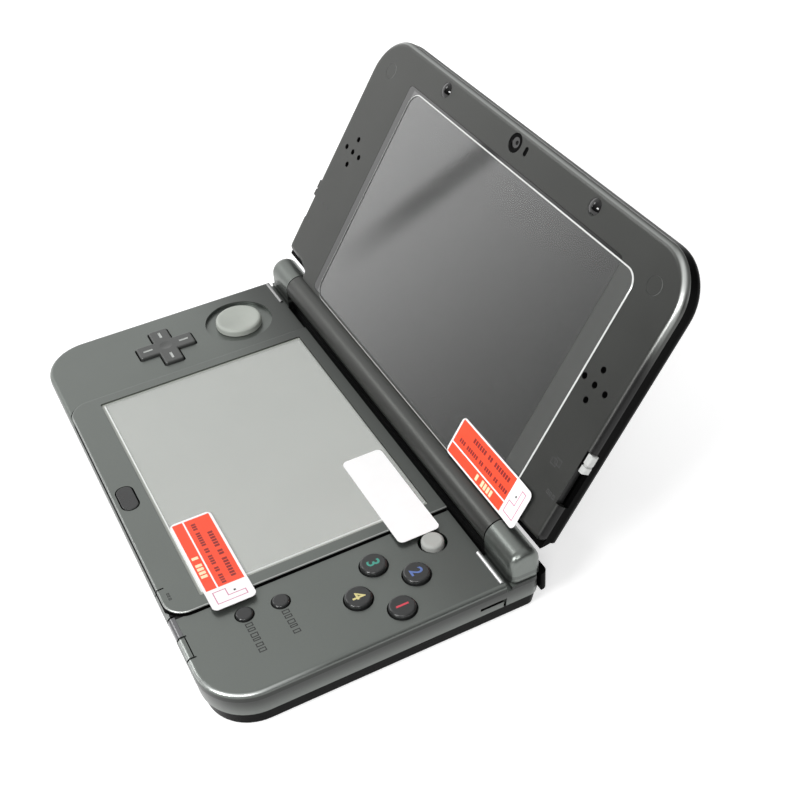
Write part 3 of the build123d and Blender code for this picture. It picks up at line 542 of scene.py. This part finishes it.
def light_lid_edges():
    """Painted light and shade: a painted sheen on the lid's upper edge, painted shade on its right rim, and a
    painted glint on the corner between them.
    """
    _, y, _ = lid_grey.axes()
    east, north, up = lid_grey.facing()
    tilted = lid_grey.ramp(up, *WELL_OFF_LEVEL)
    lid_grey.paint(lid_grey.product(tilted, lid_grey.ramp(north, *NORTH),
                                    lid_grey.between(y, *LID_EDGE_BAND)), LID_EDGE_SHEEN)
    rim = lid_grey.product(tilted, lid_grey.ramp(east, *EAST))
    lid_grey.paint(lid_grey.product(rim, lid_grey.ramp(y, *LID_RIM_RISE, soft=True)), LID_RIM_SHADE)
    lid_grey.paint(lid_grey.product(rim, lid_grey.ramp(up, *WELL_OFF_UPRIGHT),
                                    lid_grey.ramp(y, *LID_GLINT_RISE, soft=True)), LID_GLINT)


def mirror_under_film():
    """The upper glass mirrors more where its film covers it."""
    low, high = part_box("upper_film")
    centre = middle("upper_film", LID)
    half_width = (high.x - low.x) / 2
    half_height = (high.z - low.z) / 2 / math.sin(open_angle)
    covered = upper_dark.rectangle(centre.x - half_width, centre.x + half_width,
                                   centre.y - half_height, centre.y + half_height)
    upper_dark.plug(upper_dark.shader.inputs["Coat Weight"],
                    upper_dark.ramp(covered, 0, 1, COAT_BARE, COAT_UNDER_FILM))


ring_camera()
inlay_cross()
darken_recesses()
shade_side()
light_surround()
shade_deck()
light_front_corner()
light_beads()
light_lid_edges()
mirror_under_film()

low_corner, high_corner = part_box("lower_pull_tab")
tab_low = printed_tab("lower_tab_print", BASE, low_corner.x, high_corner.x, low_corner.y, high_corner.y)
low_corner, high_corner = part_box("upper_pull_tab")
foot = LID.inverted() @ Vector((0, low_corner.y, low_corner.z))
head = LID.inverted() @ Vector((0, high_corner.y, high_corner.z))
tab_up = printed_tab("upper_tab_print", LID, low_corner.x, high_corner.x, foot.y, head.y)

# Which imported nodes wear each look
LOOKS = {
    deck: ["base_top_housing", "power_button"],
    lid_grey: ["lid_inner_bezel", "lid_screw_covers", "volume_slider_knob"],
    black: ["infrared_lamp", "base_bottom_housing", "lid_outer_shell", "shoulder_left", "shoulder_right",
            "trigger_left", "trigger_right"],
    cover: ["back_cover"],
    cross: ["dpad"],
    control: ["face_button_1", "face_button_2", "face_button_3", "face_button_4", "home_button",
              "start_button", "select_button"],
    pad: ["slide_pad_cap"],
    nub: ["pointing_nub"],
    knob: ["depth_slider_knob"],
    bumper: ["lid_bumpers"],
    rubber: ["dpad_mat", "face_button_mat", "menu_button_mat"],
    inner: ["slide_pad_tray", "slide_pad_carriage", "dpad_pivot", "card_reader", "audio_jack", "nub_sensor",
            "speakers", "stylus", "memory_card"],
    lamp: ["status_light_bar"],
    steel: ["cover_screws", "housing_screws", "shoulder_pins", "charge_port", "hinge_clutch", "hinge_tube",
            "lid_screws"],
    board: ["mainboard"],
    ribbon: ["display_flex_cable"],
    wrap: ["battery"],
    upper_dark: ["upper_display", "upper_glass"],
    lower_dark: ["lower_display", "infrared_window"],
    lens: ["outer_cameras"],
    ring: ["inner_camera"],
    touch: ["touch_glass"],
    film_low: ["lower_film"],
    film_up: ["upper_film"],
    tab_low: ["lower_pull_tab"],
    tab_up: ["upper_pull_tab"],
    white: ["white_card"],
}
for look, names in LOOKS.items():
    for name in names:
        nodes[name].data.materials.clear()
        nodes[name].data.materials.append(look.material)


# ---------------------------------------------------------------- printed and inlaid marks

MARK_THICKNESS = 0.02 * MM
NUMERAL_HEIGHT = 4.9 * MM
NUMERAL_COLOURS = [(0.66, 0.06, 0.09), (0.11, 0.18, 0.45), (0.06, 0.32, 0.25), (0.72, 0.64, 0.28)]
# How much wider each stroke of a numeral is drawn, as a share of its height
NUMERAL_WEIGHT = 0.012
# Widths of a label's blocks, as shares of the distance from one block to the next
BLOCK_WIDTHS = (0.72, 0.6, 0.78, 0.52, 0.68)
LABEL_START, LABEL_DROP = 3.1 * MM, 0.2 * MM
LABEL_HEIGHT, LABEL_STROKE = 2.0 * MM, 0.28 * MM
LID_STROKE = 0.22 * MM
DOT_SIZE, DOT_ROUND = 1.2 * MM, 0.3 * MM
BEZEL_ABOVE_GLASS = 0.5 * MM


def add_piece(name, mesh, body, look):
    """Puts a mesh in the scene as a piece of its own that rides a body."""
    piece = bpy.data.objects.new(name, mesh)
    bpy.context.collection.objects.link(piece)
    mesh.materials.clear()
    mesh.materials.append(look.material)
    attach(piece, body)


def plate(name, body, look, place, shapes):
    """One thin piece made of flat outlines, each a list of points, laid on a place's XY plane."""
    mesh = bpy.data.meshes.new(name)
    form = bmesh.new()
    for points in shapes:
        face = form.faces.new([form.verts.new((x, y, 0)) for x, y in points])
        raised = bmesh.ops.extrude_face_region(form, geom=[face])
        top = [v for v in raised["geom"] if isinstance(v, bmesh.types.BMVert)]
        bmesh.ops.translate(form, verts=top, vec=(0, 0, MARK_THICKNESS))
    bmesh.ops.recalc_face_normals(form, faces=form.faces)
    form.transform(place)
    form.to_mesh(mesh)
    form.free()
    add_piece(name, mesh, body, look)


def bar(x0, x1, y0, y1, radius=0.0, steps=4):
    """Outline of a rectangle with rounded corners."""
    if radius == 0:
        return [(x0, y0), (x1, y0), (x1, y1), (x0, y1)]
    points = []
    for cx, cy, start in ((x1 - radius, y1 - radius, 0), (x0 + radius, y1 - radius, 90),
                          (x0 + radius, y0 + radius, 180), (x1 - radius, y0 + radius, 270)):
        for step in range(steps + 1):
            angle = math.radians(start + 90 * step / steps)
            points.append((cx + radius * math.cos(angle), cy + radius * math.sin(angle)))
    return points


def frame_outline(x0, x1, y0, y1, stroke):
    """Four strokes round a rectangle."""
    return [bar(x0, x1, y0, y0 + stroke), bar(x0, x1, y1 - stroke, y1),
            bar(x0, x0 + stroke, y0 + stroke, y1 - stroke), bar(x1 - stroke, x1, y0 + stroke, y1 - stroke)]


def block_label(x0, x1, y, height, count, stroke):
    """A row of small open blocks of uneven width, in place of a word."""
    shapes = []
    pitch = (x1 - x0) / count
    for index in range(count):
        left = x0 + index * pitch
        width = pitch * BLOCK_WIDTHS[index % len(BLOCK_WIDTHS)]
        shapes += frame_outline(left, left + width, y - height / 2, y + height / 2, stroke)
    return shapes


def numeral(name, body, look, text, place, height):
    """A raised numeral centred on a place's origin."""
    font = bpy.data.curves.new(name, "FONT")
    font.body = text
    font.size = height
    font.extrude = MARK_THICKNESS
    font.offset = NUMERAL_WEIGHT * height
    font.align_x = "CENTER"
    font.align_y = "CENTER"
    letter = bpy.data.objects.new(name + "_curve", font)
    bpy.context.collection.objects.link(letter)
    bpy.context.view_layer.update()
    mesh = bpy.data.meshes.new_from_object(letter.evaluated_get(bpy.context.evaluated_depsgraph_get()))
    bpy.data.objects.remove(letter)
    points = [vertex.co for vertex in mesh.vertices]
    centre = (Vector(map(min, *points)) + Vector(map(max, *points))) / 2
    mesh.transform(place @ Matrix.Translation((-centre.x, -centre.y, 0)))
    add_piece(name, mesh, body, look)


for number, colour in enumerate(NUMERAL_COLOURS, 1):
    button = f"face_button_{number}"
    cap = middle(button)
    ink = moulded(f"ink_{number}", colour, 0.4)
    place = Matrix.Translation((cap.x, cap.y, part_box(button)[1].z))
    numeral(f"numeral_{number}", button, ink, str(number), place, NUMERAL_HEIGHT)

# Blocks to the right of the two menu buttons, and on the surround above the status lights
dark_ink = moulded("dark_ink", (0.03, 0.031, 0.03), 0.5)
for button, letters, label_end in (("start_button", 5, 12.0 * MM), ("select_button", 6, 13.8 * MM)):
    cap = middle(button)
    shapes = block_label(cap.x + LABEL_START, cap.x + label_end, cap.y - LABEL_DROP, LABEL_HEIGHT, letters,
                         LABEL_STROKE)
    plate(button + "_label", "base", dark_ink, Matrix.Translation((0, 0, deck_top)), shapes)
shapes = block_label(39.4 * MM, 42.2 * MM, -42.6 * MM, 0.8 * MM, 3, 0.2 * MM)
plate("light_mark", "base", dark_ink, Matrix.Translation((0, 0, stage_top)), shapes)

# Plain marks beside the lid's two sliders: overlapping frames, blocks and dots
lid_ink = moulded("lid_ink", (0.05, 0.05, 0.05), 0.5)
lid_face = LID @ Matrix.Translation((0, 0, middle("upper_glass", LID).z + BEZEL_ABOVE_GLASS))


def dot(x, y):
    """A small rounded square with its low left corner at x, y."""
    return bar(x, x + DOT_SIZE, y, y + DOT_SIZE, DOT_ROUND)


LID_MARKS = {
    "depth_mark": frame_outline(69.7 * MM, 72.0 * MM, 25.3 * MM, 27.2 * MM, LID_STROKE)
    + frame_outline(71.0 * MM, 73.4 * MM, 26.0 * MM, 27.9 * MM, LID_STROKE),
    "depth_off_mark": block_label(73.6 * MM, 77.4 * MM, 19.4 * MM, 1.2 * MM, 3, LID_STROKE),
    "volume_mark": [dot(-73.2 * MM, 27.6 * MM), dot(-69.7 * MM, 27.6 * MM)],
    "volume_off_mark": [dot(-75.7 * MM, 19.5 * MM)],
}
for name, shapes in LID_MARKS.items():
    plate(name, "lid", lid_ink, lid_face, shapes)


# ---------------------------------------------------------------- floor, light and camera

FLOOR_REACH = 4.0
FLOOR_GLOW = 0.52
STUDIO_STRENGTH = 4.0
# Grey levels of the ceiling and of the wall against the height of the direction looked in
CEILING_LEVELS = [(0.0, 0.004), (0.28, 0.006), (0.45, 0.05), (0.65, 0.09), (1.0, 0.22)]
WALL_LEVELS = [(0.0, 0.4), (0.25, 0.4), (0.55, 0.19), (0.8, 0.13), (0.95, 0.0)]
# Bearings are measured from -X; the wall fades out toward the front and toward the back
WALL_FRONT = (math.radians(-52), math.radians(-32))
WALL_REAR = (math.radians(40), math.radians(6))
# A dark post stands before the wall, with soft sides and a foot that fades out
POST_BEARING = math.radians(-38.6)
POST_SPREAD = (math.radians(0.1), math.radians(0.85))
POST_DARKNESS = 0.85
POST_FOOT = (0.06, 0.14)

floor_mesh = bpy.data.meshes.new("floor")
floor_mesh.from_pydata([(-FLOOR_REACH, -FLOOR_REACH, 0), (FLOOR_REACH, -FLOOR_REACH, 0),
                        (FLOOR_REACH, FLOOR_REACH, 0), (-FLOOR_REACH, FLOOR_REACH, 0)], [], [(0, 1, 2, 3)])
floor = bpy.data.objects.new("floor", floor_mesh)
floor.location.z = cad_box[0].z
bpy.context.collection.objects.link(floor)
floor_look = Look("floor_pale", (0.82, 0.82, 0.82), 0.9, specular_ior_level=0.1, emission_strength=FLOOR_GLOW)
floor_look.shader.inputs["Emission Color"].default_value = (1, 1, 1, 1)
floor_look.mottle(size=0.5, amount=0.01)
floor_mesh.materials.append(floor_look.material)


def curve(graph, factor, points):
    """Grey levels against factor, through a colour ramp."""
    node = graph.add("ShaderNodeValToRGB", Fac=factor)
    while len(node.color_ramp.elements) < len(points):
        node.color_ramp.elements.new(0.5)
    for element, (position, value) in zip(node.color_ramp.elements, points):
        element.position = position
        element.color = (value, value, value, 1)
    return node.outputs["Color"]


# Studio: a dark horizon, a pale ceiling and a broad bright wall to the side the screens mirror
world = bpy.data.worlds.new("studio")
bpy.context.scene.world = world
world.use_nodes = True
studio = Graph(world.node_tree)
background = studio.nodes["Background"]
background.inputs["Strength"].default_value = STUDIO_STRENGTH
toward = studio.add("ShaderNodeTexCoord").outputs["Generated"]
split = studio.add("ShaderNodeSeparateXYZ", Vector=toward)
height = split.outputs["Z"]
sideways = studio.maths("MULTIPLY", split.outputs["X"], -1)
bearing = studio.maths("ARCTAN2", split.outputs["Y"], sideways)
wall = studio.product(studio.ramp(bearing, *WALL_FRONT, soft=True),
                      studio.ramp(bearing, *WALL_REAR, soft=True), curve(studio, height, WALL_LEVELS))
# A dark post against the wall, seen as a streak in the upper screen
aside = studio.maths("ABSOLUTE", studio.maths("SUBTRACT", bearing, POST_BEARING))
post = studio.product(studio.ramp(aside, *POST_SPREAD, POST_DARKNESS, 0, soft=True),
                      studio.ramp(height, *POST_FOOT))
wall = studio.product(wall, studio.maths("SUBTRACT", 1, post))
ceiling = curve(studio, height, CEILING_LEVELS)
studio.plug(background.inputs["Color"], studio.maths("ADD", wall, ceiling))

LIGHT_TARGET = Vector((0, 0, 0.03))
CAMERA_PLACE = Vector((0.2697, -0.0757, 0.2568))
CAMERA_TARGET = Vector((0.0184, 0.0361, 0.0300))
CAMERA_ROLL = math.radians(-4.58)
# Lens and sensor in millimetres
CAMERA_LENS = 57.44
SENSOR_WIDTH = 36
CLIP_START = 0.01


def softbox(name, place, size, power):
    """A rectangular light of a size in metres and a power in watts, turned toward the object."""
    light = bpy.data.lights.new(name, "AREA")
    light.shape = "RECTANGLE"
    light.size, light.size_y = size
    light.energy = power
    lamp_object = bpy.data.objects.new(name, light)
    lamp_object.location = place
    lamp_object.rotation_mode = "QUATERNION"
    lamp_object.rotation_quaternion = (LIGHT_TARGET - Vector(place)).to_track_quat("-Z", "Y")
    bpy.context.collection.objects.link(lamp_object)


softbox("key", (0.83, -0.44, 0.74), (0.3, 0.3), 3)
softbox("corner", (0.35, -0.95, 0.65), (0.4, 0.3), 8)
softbox("strip", (-0.75, -0.56, 0.82), (0.3, 0.3), 1.5)

camera = bpy.data.objects.new("camera", bpy.data.cameras.new("camera"))
bpy.context.collection.objects.link(camera)
camera.data.lens = CAMERA_LENS
camera.data.sensor_width = SENSOR_WIDTH
camera.data.clip_start = CLIP_START
camera.location = CAMERA_PLACE
aim = (CAMERA_TARGET - CAMERA_PLACE).to_track_quat("-Z", "Y").to_matrix().to_4x4()
camera.rotation_euler = (aim @ Matrix.Rotation(CAMERA_ROLL, 4, "Z")).to_euler()
bpy.context.scene.camera = camera
bpy.context.scene.view_settings.view_transform = "Standard"
